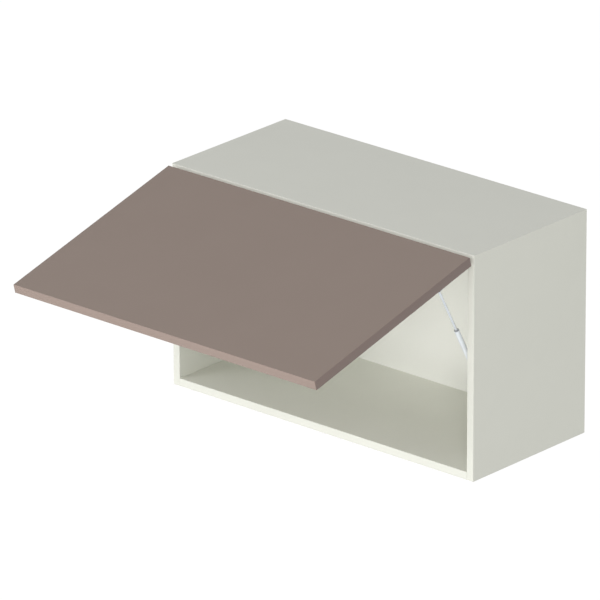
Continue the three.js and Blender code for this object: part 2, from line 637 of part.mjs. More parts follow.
for (const [name, side] of SIDES) {
  addPiece(`hinge_cup_${name}`, hingeCup().translate([side * HINGE_X, 0, 0]), 'nickel', doorPlace);
  const atStrut = (solid) => mirrored(solid.translate([STRUT_X, 0, 0]), side);
  addPiece(`door_bracket_${name}`, atStrut(doorBracket()), 'zinc', doorPlace);
  addPiece(`door_ball_stud_${name}`, atStrut(doorStud()), 'chrome', doorPlace);
  addPiece(`door_bumper_${name}`, mirrored(bumper(), side), 'clear', doorPlace);
}

// ---- gas struts --------------------------------------------------------------------------
// Each strut stands on its fixed ball and leans to the door's ball. It is modelled upright,
// from the fixed ball, and leant over as one group.
const SIDE_BALL = [FRONT + SIDE_BALL_BACK, HEIGHT - SIDE_BALL_DROP];
const openBall = opened(DOOR_BALL);
const SPAN = [PIVOT_Y + openBall[0] - SIDE_BALL[0], PIVOT_Z + openBall[1] - SIDE_BALL[1]];
const STRUT_LENGTH = Math.hypot(...SPAN);
const STRUT_LEAN = Math.atan2(-SPAN[0], SPAN[1]);
const TUBE_FOOT = LOWER_SHANK + SLIDE_PLAY;
const GUIDE_FOOT = TUBE_TOP - GUIDE_LIP;
const PISTON_HEAD = GUIDE_FOOT - GUIDE_SPIGOT - PISTON_STOP;
const BORE_RADIUS = TUBE_RADIUS - TUBE_WALL;

function sideBracket() {
  const outer = STRUT_INSET - GLUE;
  const reach = BRACKET_LENGTH / 2 - BRACKET_WIDTH / 2;
  const plate = strap('x', [[0, -reach], [0, reach]], BRACKET_WIDTH, outer - BRACKET_THICK, outer);
  const holes = [-1, 1].map((end) => disc(
    'x', 0, end * BRACKET_SCREW_REACH, SCREW_HOLE, 0, outer + 1, SMALL,
  ));
  return cut(plate, ...holes).translate([0, ...SIDE_BALL]);
}

// The fixed ball's foot stands on the bracket.
function sideStud() {
  const foot = STRUT_INSET - GLUE - BRACKET_THICK - STUD_SEAT;
  return turned('x', [
    ...ballAndNeck(foot - COLLAR_THICK), [COLLAR_RADIUS, foot], [0, foot],
  ]);
}

// A plastic end fitting that snaps over a ball; its shank points up the strut.
function ballSocket(length, grip) {
  const housing = cylinder('x', SOCKET_RADIUS, -SOCKET_CAP, SOCKET_MOUTH);
  const shank = cylinder('z', SHANK_RADIUS, 0, length);
  const hollow = turned('x', sphereProfile(BALL_RADIUS + BALL_PLAY));
  const mouth = cylinder('x', BALL_RADIUS - SNAP_LIP, 0, SOCKET_MOUTH + 1);
  const bore = cylinder('z', ROD_RADIUS + SLIDE_PLAY, length - grip - SLIDE_PLAY, length + 1, SMALL);
  return cut(join(housing, shank), hollow, mouth, bore);
}

function sphereProfile(radius) {
  const steps = 10;
  return Array.from({ length: steps + 1 }, (_, i) => {
    const angle = (Math.PI * i) / steps - Math.PI / 2;
    return [i === 0 || i === steps ? 0 : radius * Math.cos(angle), radius * Math.sin(angle)];
  });
}

function strutTube() {
  return turned('z', [
    [0, TUBE_FOOT - LOWER_GRIP], [ROD_RADIUS, TUBE_FOOT - LOWER_GRIP], [ROD_RADIUS, TUBE_FOOT],
    [TUBE_RADIUS - TUBE_CHAMFER, TUBE_FOOT], [TUBE_RADIUS, TUBE_FOOT + TUBE_CHAMFER],
    [TUBE_RADIUS, GUIDE_FOOT],
    [BORE_RADIUS, GUIDE_FOOT], [BORE_RADIUS, TUBE_FOOT + TUBE_END], [0, TUBE_FOOT + TUBE_END],
  ]);
}

function rodGuide() {
  const bore = ROD_RADIUS + SLIDE_PLAY;
  const spigot = BORE_RADIUS - SLIDE_PLAY;
  const seat = GUIDE_FOOT + SLIDE_PLAY;
  return turned('z', [
    [bore, GUIDE_FOOT - GUIDE_SPIGOT], [spigot, GUIDE_FOOT - GUIDE_SPIGOT], [spigot, seat],
    [TUBE_RADIUS, seat], [TUBE_RADIUS, TUBE_TOP - GUIDE_CHAMFER], [TUBE_RADIUS - GUIDE_CHAMFER, TUBE_TOP],
    [bore, TUBE_TOP],
    [bore, GUIDE_FOOT - GUIDE_SPIGOT],
  ]);
}

function pistonRod() {
  const tip = STRUT_LENGTH - UPPER_SHANK + UPPER_GRIP;
  return turned('z', [
    [0, PISTON_HEAD - PISTON_LENGTH], [PISTON_RADIUS, PISTON_HEAD - PISTON_LENGTH],
    [PISTON_RADIUS, PISTON_HEAD], [ROD_RADIUS, PISTON_HEAD], [ROD_RADIUS, tip], [0, tip],
  ]);
}

for (const [name, side] of SIDES) {
  const atStrut = (solid) => mirrored(solid.translate([STRUT_X, 0, 0]), side);
  addPiece(`side_bracket_${name}`, atStrut(sideBracket()), 'zinc');
  const strut = new THREE.Group();
  strut.position.set(0, ...SIDE_BALL);
  strut.rotation.x = STRUT_LEAN;
  cabinet.add(strut);
  const upperSocket = ballSocket(UPPER_SHANK, UPPER_GRIP).mirror([0, 0, 1]).translate([0, 0, STRUT_LENGTH]);
  addPiece(`side_ball_stud_${name}`, atStrut(sideStud()), 'chrome', strut);
  addPiece(`lower_socket_${name}`, atStrut(ballSocket(LOWER_SHANK, LOWER_GRIP)), 'black', strut);
  addPiece(`strut_tube_${name}`, atStrut(strutTube()), 'strut', strut);
  addPiece(`rod_guide_${name}`, atStrut(rodGuide()), 'grey', strut);
  addPiece(`piston_rod_${name}`, atStrut(pistonRod()), 'strut', strut);
  addPiece(`upper_socket_${name}`, atStrut(upperSocket), 'black', strut);
}

export default cabinet;
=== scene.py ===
# %% [markdown]
# # A lift-up wall cabinet
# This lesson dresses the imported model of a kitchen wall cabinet: a white box of melamine-faced
# board with one taupe flap door, held open by a gas strut at each side. The solids come from CAD
# and are not touched. Blender adds what the eye needs: finishes, soft edges, turned parts with
# fine facets, screws, light and a camera.

import json
import math

import bmesh
import bpy
from mathutils import Matrix, Vector

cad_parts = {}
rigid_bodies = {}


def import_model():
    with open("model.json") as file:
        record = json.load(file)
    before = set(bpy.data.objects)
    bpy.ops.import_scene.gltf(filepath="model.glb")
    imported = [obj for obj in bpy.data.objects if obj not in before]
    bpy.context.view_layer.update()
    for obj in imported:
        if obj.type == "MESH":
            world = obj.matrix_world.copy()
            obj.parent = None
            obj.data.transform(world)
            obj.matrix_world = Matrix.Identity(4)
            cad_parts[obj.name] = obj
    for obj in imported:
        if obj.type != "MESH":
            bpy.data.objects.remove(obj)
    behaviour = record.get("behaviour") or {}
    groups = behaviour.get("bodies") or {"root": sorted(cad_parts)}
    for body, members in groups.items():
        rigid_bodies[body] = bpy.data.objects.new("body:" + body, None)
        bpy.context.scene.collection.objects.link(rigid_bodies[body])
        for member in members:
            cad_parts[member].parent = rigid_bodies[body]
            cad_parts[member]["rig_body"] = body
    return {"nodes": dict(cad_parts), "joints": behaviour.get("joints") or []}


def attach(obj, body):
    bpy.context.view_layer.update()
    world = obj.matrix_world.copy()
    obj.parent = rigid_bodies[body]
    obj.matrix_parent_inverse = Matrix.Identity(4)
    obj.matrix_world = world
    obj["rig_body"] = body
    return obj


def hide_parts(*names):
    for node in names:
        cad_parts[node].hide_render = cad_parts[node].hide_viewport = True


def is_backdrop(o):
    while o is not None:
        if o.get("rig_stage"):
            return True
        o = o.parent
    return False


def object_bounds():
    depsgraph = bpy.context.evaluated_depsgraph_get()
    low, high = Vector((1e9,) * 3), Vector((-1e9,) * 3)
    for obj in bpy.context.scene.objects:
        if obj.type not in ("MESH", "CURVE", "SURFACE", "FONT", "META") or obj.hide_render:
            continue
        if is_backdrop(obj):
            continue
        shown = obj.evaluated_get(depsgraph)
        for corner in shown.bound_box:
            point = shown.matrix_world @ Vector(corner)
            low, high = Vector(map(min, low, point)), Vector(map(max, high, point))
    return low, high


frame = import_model()
cad_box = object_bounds()
MM = 0.001
# Smaller than any real size, in metres or in millimetres.
TINY = 1e-6

# %% [markdown]
# ## Places that move
# The door was drawn shut and then turned open about its axis, and each strut was drawn upright
# and then leant over. Both turns can be read back from the joints, so a new piece can be made
# square to the world first, and then put in place with one matrix.

# %% Read the turns from the joints
SIDES = (("left", -1), ("right", 1))
joints = {joint["name"]: joint for joint in frame["joints"]}
door_axis = Vector(joints["door"]["pos_m"])
open_angle = math.radians(joints["door"]["range_deg"][0])


def turned_about(point, angle):
    """A matrix that turns things about the X axis through a point."""
    return Matrix.Translation(point) @ Matrix.Rotation(angle, 4, "X") @ Matrix.Translation(-point)


open_door = turned_about(door_axis, open_angle)


def strut_place(side_name):
    """A matrix that carries a strut drawn along +Z from its lower ball to where it leans."""
    joint = joints[f"strut_tube_{side_name}"]
    lean = math.atan2(-joint["axis"][1], joint["axis"][2])
    return Matrix.Translation(joint["pos_m"]) @ Matrix.Rotation(lean, 4, "X")


def drawn_box(node, place=Matrix()):
    """Lowest and highest corner of a CAD node, in millimetres, as it was before it was placed."""
    back = place.inverted()
    corners = [back @ vertex.co for vertex in frame["nodes"][node].data.vertices]
    low = Vector(min(point[i] for point in corners) for i in range(3)) / MM
    high = Vector(max(point[i] for point in corners) for i in range(3)) / MM
    return low, high


door_low, door_high = drawn_box("door_panel", open_door)
print("door board, mm", [round(size, 1) for size in door_high - door_low])

# %% [markdown]
# ## A small tool kit for materials
# Colours are written as sRGB hex, as in a paint program, and turned to the linear values that
# the renderer wants. One function adds any node: its settings by name, and its inputs by value
# or by the socket that feeds them.


# %% Colour and node helpers
def linear(code):
    """An sRGB hex colour as linear RGBA."""
    channels = [int(code[i : i + 2], 16) / 255 for i in (1, 3, 5)]
    bent = [c / 12.92 if c <= 0.04045 else ((c + 0.055) / 1.055) ** 2.4 for c in channels]
    return (*bent, 1.0)


def add(tree, kind, inputs=None, **settings):
    """Adds one node with its settings, and its inputs as values or as links."""
    node = tree.nodes.new(kind)
    for name, value in settings.items():
        setattr(node, name, value)
    for key, value in (inputs or {}).items():
        if isinstance(value, bpy.types.NodeSocket):
            tree.links.new(value, node.inputs[key])
        else:
            node.inputs[key].default_value = value
    return node


def start_finish(name, **shader_values):
    """A new material: its tree, its shader with constant values set, and its object coordinates."""
    material = bpy.data.materials.new(name)
    material.use_nodes = True
    tree = material.node_tree
    shader = tree.nodes["Principled BSDF"]
    for key, value in shader_values.items():
        shader.inputs[key.replace("_", " ")].default_value = value
    place = add(tree, "ShaderNodeTexCoord")
    return material, tree, shader, place.outputs["Object"]


def per_metre(size_mm):
    """The scale that gives a texture features of this size, on coordinates in metres."""
    return 1000 / size_mm


def mixed(tree, share, first, second):
    """A colour between two others."""
    node = add(tree, "ShaderNodeMix", data_type="RGBA")
    for index, value in ((0, share), (6, first), (7, second)):
        if isinstance(value, bpy.types.NodeSocket):
            tree.links.new(value, node.inputs[index])
        else:
            node.inputs[index].default_value = value
    return node.outputs[2]


def relief(tree, shader, height, depth_mm, strength=1.0):
    """Feeds a height to the shader as bump of a real depth."""
    bump = add(tree, "ShaderNodeBump", {"Height": height, "Distance": depth_mm * MM, "Strength": strength})
    tree.links.new(bump.outputs["Normal"], shader.inputs["Normal"])


print("white is", [round(c, 3) for c in linear("#E6E7DE")[:3]])

# %% [markdown]
# ## Melamine-faced chipboard
# The carcass is chipboard with a paper soaked in melamine resin pressed on both faces. The press
# plate leaves a fine pearl grain, which breaks up the shine without showing as a pattern. Where a
# board was sawn and not edged, as at the back, the wood chips show. One material can do both: a
# mask picks the sawn faces by where they lie and which way they face.


# %% Melamine board, with sawn chipboard at the back
def melamine_board():
    material, tree, shader, place = start_finish("melamine_faced_chipboard", Roughness=0.62)
    # Pearl grain is about 0.4 mm; it is drawn at 0.9 mm so that it shows at all.
    pearl = add(tree, "ShaderNodeTexNoise", {"Vector": place, "Scale": per_metre(0.9), "Detail": 3.0})
    cloud = add(tree, "ShaderNodeTexNoise", {"Vector": place, "Scale": per_metre(70), "Detail": 2.0})
    white = mixed(tree, cloud.outputs["Fac"], linear("#E6E7DE"), linear("#E3E4DB"))
    # Core chips are 2 to 4 mm.
    chips = add(tree, "ShaderNodeTexVoronoi", {"Vector": place, "Scale": per_metre(2.6), "Randomness": 1.0})
    chip_tone = add(tree, "ShaderNodeSeparateColor", {"Color": chips.outputs["Color"]})
    core = mixed(tree, chip_tone.outputs["Red"], linear("#B4946A"), linear("#DCC398"))
    spot = add(tree, "ShaderNodeSeparateXYZ", {"Vector": place})
    facing = add(tree, "ShaderNodeSeparateXYZ", {"Vector": place.node.outputs["Normal"]})
    # Sawn faces point to the wall and lie on the wall line, at Y = 0.
    to_wall = add(tree, "ShaderNodeMath", {0: facing.outputs["Y"], 1: 0.9}, operation="GREATER_THAN")
    at_wall = add(tree, "ShaderNodeMath", {0: spot.outputs["Y"], 1: -0.001}, operation="GREATER_THAN")
    sawn = add(tree, "ShaderNodeMath", {0: to_wall.outputs[0], 1: at_wall.outputs[0]}, operation="MULTIPLY")
    colour = mixed(tree, sawn.outputs[0], white, core)
    tree.links.new(colour, shader.inputs["Base Color"])
    relief(tree, shader, pearl.outputs["Fac"], 0.02, 0.6)
    return material


melamine = melamine_board()
print("made", melamine.name)

# %% [markdown]
# ## Edging
# The front edges carry a 1 mm ABS strip, glued on hot, trimmed and buffed. It is a shade smoother
# than the board and its arrises are rounded, so it catches a thin line of light.


# %% ABS edging
def abs_edging(name, main, shade, roughness):
    material, tree, shader, place = start_finish(name, Roughness=roughness)
    cloud = add(tree, "ShaderNodeTexNoise", {"Vector": place, "Scale": per_metre(45), "Detail": 2.0})
    colour = mixed(tree, cloud.outputs["Fac"], linear(main), linear(shade))
    tree.links.new(colour, shader.inputs["Base Color"])
    # Buffing leaves faint ripples a few millimetres long.
    ripple = add(tree, "ShaderNodeTexNoise", {"Vector": place, "Scale": per_metre(4), "Detail": 1.0})
    relief(tree, shader, ripple.outputs["Fac"], 0.01, 0.4)
    return material


white_edging = abs_edging("buffed_abs_edging_white", "#E5E6DD", "#E2E3DA", 0.42)
print("made", white_edging.name)

# %% [markdown]
# ## Back panel
# The back is 3 mm hardboard, lacquered white on the side that is seen. Its reverse is bare, brown
# and fibrous. Again a mask on the way the face points tells the two sides apart.


# %% Lacquered hardboard
def lacquered_hardboard():
    material, tree, shader, place = start_finish("lacquered_hardboard", Roughness=0.55)
    cloud = add(tree, "ShaderNodeTexNoise", {"Vector": place, "Scale": per_metre(60), "Detail": 2.0})
    white = mixed(tree, cloud.outputs["Fac"], linear("#F8F9F3"), linear("#F6F7F1"))
    # Bare fibres lie every way and are 1 to 3 mm long.
    fibres = add(tree, "ShaderNodeTexNoise", {"Vector": place, "Scale": per_metre(1.8), "Detail": 6.0})
    brown = mixed(tree, fibres.outputs["Fac"], linear("#7E5F43"), linear("#A98560"))
    facing = add(tree, "ShaderNodeSeparateXYZ", {"Vector": place.node.outputs["Normal"]})
    bare = add(tree, "ShaderNodeMath", {0: facing.outputs["Y"], 1: 0.5}, operation="GREATER_THAN")
    tree.links.new(mixed(tree, bare.outputs[0], white, brown), shader.inputs["Base Color"])
    relief(tree, shader, fibres.outputs["Fac"], 0.02, 0.5)
    return material


hardboard = lacquered_hardboard()
print("made", hardboard.name)

# %% [markdown]
# ## Door laminate
# The door is faced with a super-matt laminate in a warm taupe. Such a face scatters light widely
# and has a very fine, even tooth; its tone drifts by a hair over the board, never in a pattern.


# %% Taupe laminate
def super_matt_laminate(main, shade):
    material, tree, shader, place = start_finish("super_matt_taupe_laminate", Roughness=0.6)
    cloud = add(tree, "ShaderNodeTexNoise", {"Vector": place, "Scale": per_metre(90), "Detail": 2.0})
    colour = mixed(tree, cloud.outputs["Fac"], linear(main), linear(shade))
    tree.links.new(colour, shader.inputs["Base Color"])
    # The tooth is near 0.2 mm; it is drawn at 0.7 mm so that it shows.
    tooth = add(tree, "ShaderNodeTexNoise", {"Vector": place, "Scale": per_metre(0.7), "Detail": 4.0})
    relief(tree, shader, tooth.outputs["Fac"], 0.015, 0.6)
    return material


laminate = super_matt_laminate("#8F8077", "#8C7D74")
taupe_edging = abs_edging("buffed_abs_edging_taupe", "#99877F", "#96847B", 0.5)
# The door's left and right edges carry the same taupe ABS edging as its top and bottom. Their darker colour
# is painted shade, for the less light that those edges catch.
taupe_edging_painted_shade = abs_edging("buffed_abs_end_edging_taupe", "#81716B", "#7E6E68", 0.5)
print("made", laminate.name)

# %% [markdown]
# ## Metals
# Hinges are pressed from steel strip and nickel-plated: bright, slightly warm, with the faint
# lines of the rolled strip. Brackets and hangers are zinc-plated and passivated, which is cooler
# and blotchy. Ball studs are turned and chromed. A metal's colour is its reflection, so it sits in
# the base colour with metallic at 1.


# %% Plated steels
def plated_steel(name, bright, dull, roughness, grain_mm, stretch):
    material, tree, shader, place = start_finish(name, Metallic=1.0)
    # The grain is drawn out along one way, as rolling and turning leave it.
    drawn = add(tree, "ShaderNodeMapping", {"Vector": place, "Scale": stretch})
    grain = add(
        tree, "ShaderNodeTexNoise",
        {"Vector": drawn.outputs[0], "Scale": per_metre(grain_mm), "Detail": 4.0},
    )
    blotch = add(tree, "ShaderNodeTexNoise", {"Vector": place, "Scale": per_metre(6), "Detail": 3.0})
    colour = mixed(tree, blotch.outputs["Fac"], linear(bright), linear(dull))
    tree.links.new(colour, shader.inputs["Base Color"])
    spread = 0.06
    rough = add(
        tree, "ShaderNodeMapRange",
        {"Value": grain.outputs["Fac"], "To Min": roughness - spread, "To Max": roughness + spread},
    )
    tree.links.new(rough.outputs[0], shader.inputs["Roughness"])
    relief(tree, shader, grain.outputs["Fac"], 0.008, 0.5)
    return material


nickel = plated_steel("nickel_plated_pressed_steel", "#D2CFC8", "#C2BFB8", 0.28, 0.5, (1, 0.15, 1))
zinc = plated_steel("zinc_plated_pressed_steel", "#C9CDD0", "#AEB3B8", 0.38, 1.2, (1, 1, 1))
chrome = plated_steel("chromed_turned_steel", "#E3E5E6", "#DADCDE", 0.14, 0.3, (0.2, 1, 1))
polished = plated_steel("polished_rod_steel", "#D6DBE0", "#CED3D8", 0.2, 0.2, (1, 1, 0.1))
print("made", [m.name for m in (nickel, zinc, chrome, polished)])

# %% [markdown]
# ## Strut paint, nylon, beech and polyurethane
# The strut's tube is powder-coated a cool white, with a trace of orange peel. Its end fittings are
# moulded in black glass-filled nylon, which is dull and a little cloudy, and the rod guide in grey.
# The dowels are fluted beech. The door's bumpers are clear cast polyurethane.


# %% The remaining finishes
def powder_coat():
    material, tree, shader, place = start_finish("white_powder_coat", Roughness=0.3)
    shader.inputs["Base Color"].default_value = linear("#E8EDF3")
    # Orange peel has waves of about 1.5 mm.
    peel = add(tree, "ShaderNodeTexNoise", {"Vector": place, "Scale": per_metre(1.5), "Detail": 1.0})
    relief(tree, shader, peel.outputs["Fac"], 0.01, 0.5)
    return material


def moulded_nylon(name, deep, hazed):
    material, tree, shader, place = start_finish(name, Roughness=0.45)
    haze = add(tree, "ShaderNodeTexNoise", {"Vector": place, "Scale": per_metre(3), "Detail": 4.0})
    colour = mixed(tree, haze.outputs["Fac"], linear(deep), linear(hazed))
    tree.links.new(colour, shader.inputs["Base Color"])
    spark = add(tree, "ShaderNodeTexNoise", {"Vector": place, "Scale": per_metre(0.3), "Detail": 2.0})
    relief(tree, shader, spark.outputs["Fac"], 0.01, 0.6)
    return material


def fluted_beech():
    material, tree, shader, place = start_finish("fluted_beech", Roughness=0.75)
    grain = add(tree, "ShaderNodeMapping", {"Vector": place, "Scale": (0.1, 1, 1)})
    streak = add(
        tree, "ShaderNodeTexNoise",
        {"Vector": grain.outputs[0], "Scale": per_metre(0.8), "Detail": 5.0},
    )
    colour = mixed(tree, streak.outputs["Fac"], linear("#B88F5F"), linear("#D9BA8C"))
    tree.links.new(colour, shader.inputs["Base Color"])
    relief(tree, shader, streak.outputs["Fac"], 0.05, 0.8)
    return material


def cast_polyurethane():
    material, tree, shader, place = start_finish(
        "clear_cast_polyurethane", Roughness=0.18, IOR=1.5, Transmission_Weight=0.85,
    )
    haze = add(tree, "ShaderNodeTexNoise", {"Vector": place, "Scale": per_metre(5), "Detail": 2.0})
    colour = mixed(tree, haze.outputs["Fac"], linear("#F2F4F2"), linear("#E2E6E2"))
    tree.links.new(colour, shader.inputs["Base Color"])
    relief(tree, shader, haze.outputs["Fac"], 0.02, 0.3)
    return material


strut_white = powder_coat()
black_nylon = moulded_nylon("black_moulded_nylon", "#242526", "#343637")
grey_nylon = moulded_nylon("grey_moulded_nylon", "#A0A4A8", "#ABAFB4")
beech = fluted_beech()
polyurethane = cast_polyurethane()
print("finishes", len(bpy.data.materials))

# %% [markdown]
# ## Dressing the CAD solids
# A solid whose shape is already right keeps it and only gets a finish. The rule below goes from
# the start of a node's name to its finish.

# %% Give every CAD solid its finish
# The first start that fits a name is taken, so a longer start stands before a shorter one.
FINISH_OF = (
    ("edging", white_edging), ("side_panel", melamine), ("top_panel", melamine),
    ("bottom_panel", melamine), ("back_panel", hardboard), ("dowel", beech),
    ("door_panel", laminate), ("door_edging_top", taupe_edging),
    # The door's left and right edging takes the darker taupe, which is painted shade.
    ("door_edging_bottom", taupe_edging), ("door_edging", taupe_edging_painted_shade), ("door_bumper", polyurethane),
    ("hinge", nickel), ("hanger_screw", nickel), ("hanger", zinc), ("side_bracket", zinc),
    ("door_bracket", zinc), ("side_ball_stud", chrome), ("door_ball_stud", chrome),
    ("strut_tube", strut_white), ("piston_rod", polished), ("rod_guide", grey_nylon),
    ("lower_socket", black_nylon), ("upper_socket", black_nylon),
)


def finish_of(node):
    return next(finish for start, finish in FINISH_OF if node.startswith(start))


for node, solid in frame["nodes"].items():
    solid.data.materials.clear()
    solid.data.materials.append(finish_of(node))
print("dressed", len(frame["nodes"]), "solids")

# %% [markdown]
# ## From a drawn mesh to a finished piece
# Every new piece goes through one door: its mesh is cleaned, placed, named, given its finish, and
# tied to the body that it moves with. The object stays at the origin and its place is in the mesh.

# %% Helper that finishes a piece
body_of_node = {node: solid["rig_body"] for node, solid in frame["nodes"].items()}


def finish_piece(name, shape, node, material=None, place=Matrix(), sharp=30, stands_for=True):
    """Turns a bmesh drawn in metres into a piece that stands for a CAD node, or rides beside it."""
    bmesh.ops.transform(shape, matrix=place, verts=shape.verts)
    bmesh.ops.recalc_face_normals(shape, faces=shape.faces)
    mesh = bpy.data.meshes.new(name)
    shape.to_mesh(mesh)
    shape.free()
    mesh.polygons.foreach_set("use_smooth", [True] * len(mesh.polygons))
    mesh.set_sharp_from_angle(angle=math.radians(sharp))
    mesh.materials.append(material or finish_of(node))
    piece = bpy.data.objects.new(name, mesh)
    bpy.context.scene.collection.objects.link(piece)
    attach(piece, body_of_node[node])
    if stands_for:
        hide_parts(node)
    return piece


print("bodies in use", sorted(set(body_of_node.values())))

# %% [markdown]
# ## Edging strips with rounded arrises
# A trimmed strip has a small radius along its outer edges and a square back where it is glued.
# The strip is a block with only the edges of its outer face rounded. At a butt joint the ends stay
# square, or the joint would show as a notch.


# %% Make the edging strips
ARRIS_RADIUS = 0.6


def rounded_strip(low, high, outward, radius_mm, round_ends):
    """A block in metres with the edges of the face that points outward rounded."""
    shape = bmesh.new()
    size, middle = (high - low) * MM, (high + low) / 2 * MM
    block = Matrix.Translation(middle) @ Matrix.Diagonal((*size, 1))
    bmesh.ops.create_cube(shape, size=1, matrix=block)
    reach = max(outward.dot(vertex.co) for vertex in shape.verts)
    longest = max(range(3), key=lambda i: size[i])

    def is_arris(edge):
        run = edge.verts[1].co - edge.verts[0].co
        on_face = all(abs(outward.dot(vertex.co) - reach) < TINY for vertex in edge.verts)
        return on_face and (round_ends or abs(run[longest]) > TINY)

    edges = [edge for edge in shape.edges if is_arris(edge)]
    bmesh.ops.bevel(shape, geom=edges, offset=radius_mm * MM, segments=3, profile=0.5, affect="EDGES")
    return shape


STRIPS = (
    ("edging_left", Matrix(), (0, -1, 0), True), ("edging_right", Matrix(), (0, -1, 0), True),
    ("edging_top", Matrix(), (0, -1, 0), False), ("edging_bottom", Matrix(), (0, -1, 0), False),
    ("door_edging_left", open_door, (-1, 0, 0), True), ("door_edging_right", open_door, (1, 0, 0), True),
    ("door_edging_top", open_door, (0, 0, 1), False), ("door_edging_bottom", open_door, (0, 0, -1), False),
)
for node, place, outward, round_ends in STRIPS:
    strip = rounded_strip(*drawn_box(node, place), Vector(outward), ARRIS_RADIUS, round_ends)
    finish_piece(f"{node}_strip", strip, node, place=place)
print("strips", len(STRIPS))

# %% [markdown]
# ## Turned parts
# Tube, rod, guide, ball studs and bumpers are round. CAD gives them twenty flats, which is enough
# to collide with but shows in a highlight. Here each is spun again from its outline, with 48 sides
# or 32 for a bumper, and each corner of the outline is eased, because no turned edge is perfectly sharp.


# %% Outline easing and spinning
# An easing takes at most this share of each side of its corner, so two never meet.
EASE_SHARE = 0.45


def eased(outline, radius):
    """Rounds the inner corners of an outline of (radius, height) points."""
    result = [outline[0]]
    for before, corner, after in zip(outline, outline[1:], outline[2:]):
        a, b, c = Vector(before), Vector(corner), Vector(after)
        reach = min(radius, (a - b).length * EASE_SHARE, (c - b).length * EASE_SHARE)
        start, end = b + (a - b).normalized() * reach, b + (c - b).normalized() * reach
        for i in range(4):
            t = i / 3
            result.append(tuple(start * (1 - t) ** 2 + b * 2 * t * (1 - t) + end * t**2))
    return [*result, outline[-1]]


def spun(outline, sides=48, closed_loop=False):
    """Spins an outline in millimetres round the Z axis. Points on the axis become poles."""
    shape = bmesh.new()
    turns = [2 * math.pi * i / sides for i in range(sides)]
    rings = []
    for radius, height in outline:
        if radius < TINY:
            rings.append([shape.verts.new((0, 0, height * MM))])
            continue
        circle = [(radius * MM * math.cos(t), radius * MM * math.sin(t), height * MM) for t in turns]
        rings.append([shape.verts.new(point) for point in circle])
    pairs = list(zip(rings, rings[1:]))
    if closed_loop:
        pairs.append((rings[-1], rings[0]))
    for lower, upper in pairs:
        for i in range(sides):
            j = (i + 1) % sides
            corners = ((lower, i), (lower, j), (upper, j), (upper, i))
            unique = list(dict.fromkeys(ring[k % len(ring)] for ring, k in corners))
            if len(unique) > 2:
                shape.faces.new(unique)
    return shape


def across(side):
    """Turns what was spun round Z so that it points outward along X, to one side."""
    return Matrix.Rotation(side * math.pi / 2, 4, "Y")


print("eased corner", len(eased([(0, 0), (5, 0), (5, 9)], 0.5)), "points")

# %% Tube, rod and guide of each strut
ROD_RADIUS = 2.5
STUD_LENGTH = 9
TUBE_WALL = 0.8
TUBE_FLOOR = 3
GROOVE_DEPTH = 0.35
PISTON_LENGTH = 6
GUIDE_SPIGOT = 8
RUNNING_GAP = 0.2


def tube_outline(low, high, radius):
    """The threaded stud, the spun-in foot, the groove that is rolled to hold the guide, the bore."""
    foot = low.z + STUD_LENGTH
    inner = radius - TUBE_WALL
    groove = radius - GROOVE_DEPTH
    return [
        (0, low.z), (ROD_RADIUS, low.z), (ROD_RADIUS, foot), (radius - 1.4, foot),
        (radius, foot + 1.6), (radius, high.z - 9), (groove, high.z - 8.2), (groove, high.z - 7.4),
        (radius, high.z - 6.6), (radius, high.z), (inner, high.z), (inner, foot + TUBE_FLOOR),
        (0, foot + TUBE_FLOOR),
    ]


def rod_outline(low, high):
    """The piston at the lower end, and the rod."""
    piston = (high.x - low.x) / 2
    shoulder = low.z + PISTON_LENGTH
    return [
        (0, low.z), (piston, low.z), (piston, shoulder),
        (ROD_RADIUS, shoulder), (ROD_RADIUS, high.z), (0, high.z),
    ]


def guide_outline(low, high, radius):
    """A spigot inside the tube, a collar on top, and a bore that the rod runs in."""
    bore = ROD_RADIUS + RUNNING_GAP
    seat = low.z + GUIDE_SPIGOT + RUNNING_GAP
    return [
        (bore, low.z), (radius - 1, low.z), (radius - 1, seat), (radius, seat),
        (radius, high.z - 0.6), (radius - 0.7, high.z), (bore, high.z),
    ]


for side_name, side in SIDES:
    place = strut_place(side_name)
    tube, rod, guide = (f"{part}_{side_name}" for part in ("strut_tube", "piston_rod", "rod_guide"))
    low, high = drawn_box(tube, place)
    radius = (high.x - low.x) / 2
    to_axis = place @ Matrix.Translation(((high.x + low.x) / 2 * MM, 0, 0))
    shape = spun(eased(tube_outline(low, high, radius), 0.5))
    finish_piece(f"gas_tube_{side_name}", shape, tube, place=to_axis)
    shape = spun(eased(rod_outline(*drawn_box(rod, place)), 0.3))
    finish_piece(f"rod_{side_name}", shape, rod, place=to_axis)
    shape = spun(eased(guide_outline(*drawn_box(guide, place), radius), 0.2), closed_loop=True)
    finish_piece(f"guide_{side_name}", shape, guide, place=to_axis)
print("tube, mm", round(2 * radius, 1), "x", round(high.z - low.z, 1))

# %% Ball studs
BALL_RADIUS = 4
NECK_RADIUS = 2.5
COLLAR_RADIUS = 4.5


def ball_arc(steps=14):
    """From the ball's pole to the neck, as (radius, distance from the ball's centre) points."""
    end = math.acos(NECK_RADIUS / BALL_RADIUS)
    angles = [-math.pi / 2 + (end + math.pi / 2) * i / steps for i in range(steps + 1)]
    arc = [(BALL_RADIUS * math.cos(t), BALL_RADIUS * math.sin(t)) for t in angles[1:]]
    return [(0, -BALL_RADIUS), *arc]


def stud(node, place, side, tail):
    """A ball stud along X. The tail goes from the collar outward; distances from the outer end."""
    low, high = drawn_box(node, place)
    length = high.x - low.x - BALL_RADIUS
    outline = ball_arc() + eased([(NECK_RADIUS, ball_arc()[-1][1]), *tail(length)], 0.3)[1:]
    ball_x = low.x + BALL_RADIUS if side > 0 else high.x - BALL_RADIUS
    middle = (high + low) / 2
    centre = Matrix.Translation(Vector((ball_x, middle.y, middle.z)) * MM)
    name = node.replace("ball_stud", "turned_stud")
    return finish_piece(name, spun(outline), node, place=place @ centre @ across(side))


